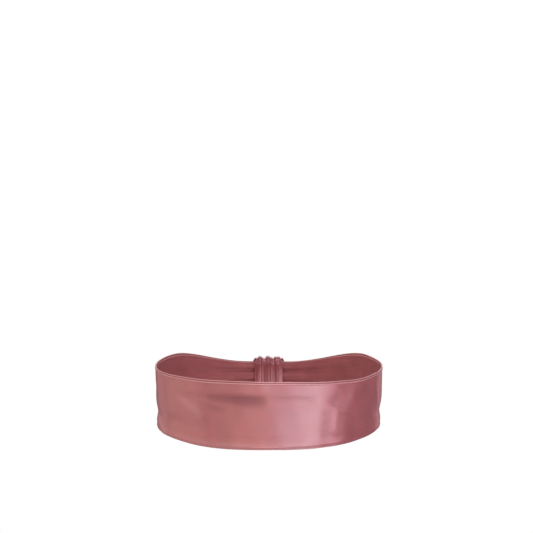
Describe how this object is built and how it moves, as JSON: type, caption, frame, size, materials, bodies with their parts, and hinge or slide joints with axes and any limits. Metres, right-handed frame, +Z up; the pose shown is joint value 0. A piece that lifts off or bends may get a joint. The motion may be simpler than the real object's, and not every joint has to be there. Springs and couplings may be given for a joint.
{
  "type": "satin sash",
  "caption": "Flat satin waist sash, worn in an oval ring, drawn in to a plain flat knot with short hemmed tails at the back.",
  "frame": {"origin": "centre of the waist, halfway between the band's edges", "axes": "+Z up, -Y the front of the wearer, +X the wearer's left"},
  "size_m": [0.2028, 0.177, 0.0914],
  "materials": {
    "satin": "dusty rose satin with a soft sheen"
  },
  "bodies": {
    "root": {"waist_band": "satin", "knot": "satin", "tail_left": "satin", "tail_right": "satin"}
  },
  "joints": []
}
